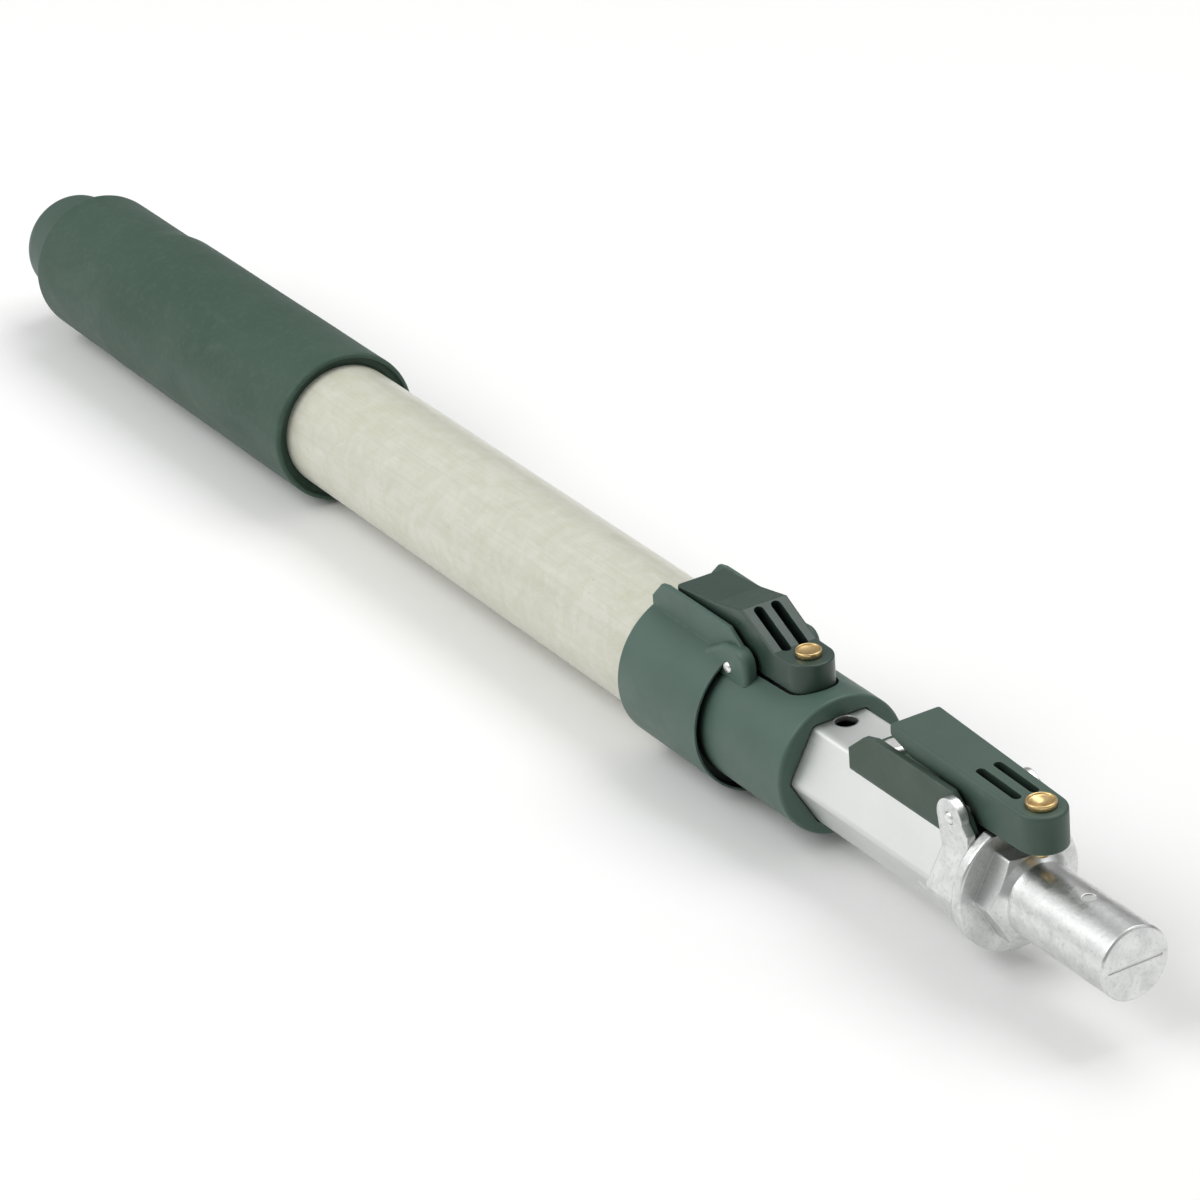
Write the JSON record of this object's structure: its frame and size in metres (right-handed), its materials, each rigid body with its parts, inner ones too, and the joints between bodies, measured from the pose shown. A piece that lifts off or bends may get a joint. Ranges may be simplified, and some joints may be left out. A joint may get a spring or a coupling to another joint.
{
  "type": "telescopic extension pole",
  "caption": "Telescopic hand pole: fibreglass tube with moulded grip, sliding hexagonal metal inner pole, spring lever lock on the collar and a quick-release lever at the round tool tip.",
  "frame": {"origin": "on the pole's axis, at the middle of the grip's straight barrel", "axes": "+X along the pole to the tool tip; +Z towards the side that carries both levers; +Y completes the right-handed frame"},
  "size_m": [0.5256, 0.0426, 0.0518],
  "materials": {
    "fibreglass": "semi-gloss, faintly mottled cream gelcoat",
    "grip": "matte moulded grip, very fine texture",
    "green_plastic": "satin moulded plastic",
    "black_rubber": "matte",
    "black_plastic": "matte",
    "pole_aluminium": "satin anodised extrusion",
    "cast_metal": "bright tumbled die-casting",
    "steel": "bright zinc plated",
    "spring_steel": "drawn wire",
    "brass": "bright turned"
  },
  "bodies": {
    "outer_pole": {"fiberglass_tube": "fibreglass", "grip_sleeve": "grip", "butt_cap": "green_plastic", "end_bumper": "black_rubber", "lock_housing": "green_plastic", "guide_collar": "green_plastic", "collar_rivets": "steel", "lock_pivot_pin": "steel", "lock_spring": "spring_steel"},
    "lock_lever": {"lock_lever": "green_plastic", "lock_pin": "brass"},
    "inner_pole": {"hex_pole": "pole_aluminium", "rear_guide_plug": "black_plastic", "rear_plug_rivet": "pole_aluminium", "tip_casting": "cast_metal", "tip_cross_pin": "steel", "tip_plug_rivets": "steel", "lever_base": "green_plastic", "base_rivets": "steel", "tip_pivot_pin": "steel", "tip_spring": "spring_steel"},
    "tip_lever": {"tip_lever": "green_plastic", "tip_lock_pin": "brass"}
  },
  "joints": [
    {"name": "inner_slide", "type": "slide", "parent": "outer_pole", "child": "inner_pole", "axis": [1, 0, 0], "range_m": [-0.015, 0.3048]},
    {"name": "lock_lever_press", "type": "hinge", "parent": "outer_pole", "child": "lock_lever", "pos_m": [0.2643, 0, 0.0166], "axis": [0, -1, 0], "range_deg": [-7, 9], "stiffness_Nm_per_rad": 0.6, "springref_deg": -20.05},
    {"name": "tip_lever_press", "type": "hinge", "parent": "inner_pole", "child": "tip_lever", "pos_m": [0.3554, 0, 0.0166], "axis": [0, -1, 0], "range_deg": [0, 12], "stiffness_Nm_per_rad": 0.6, "springref_deg": -20.05}
  ]
}
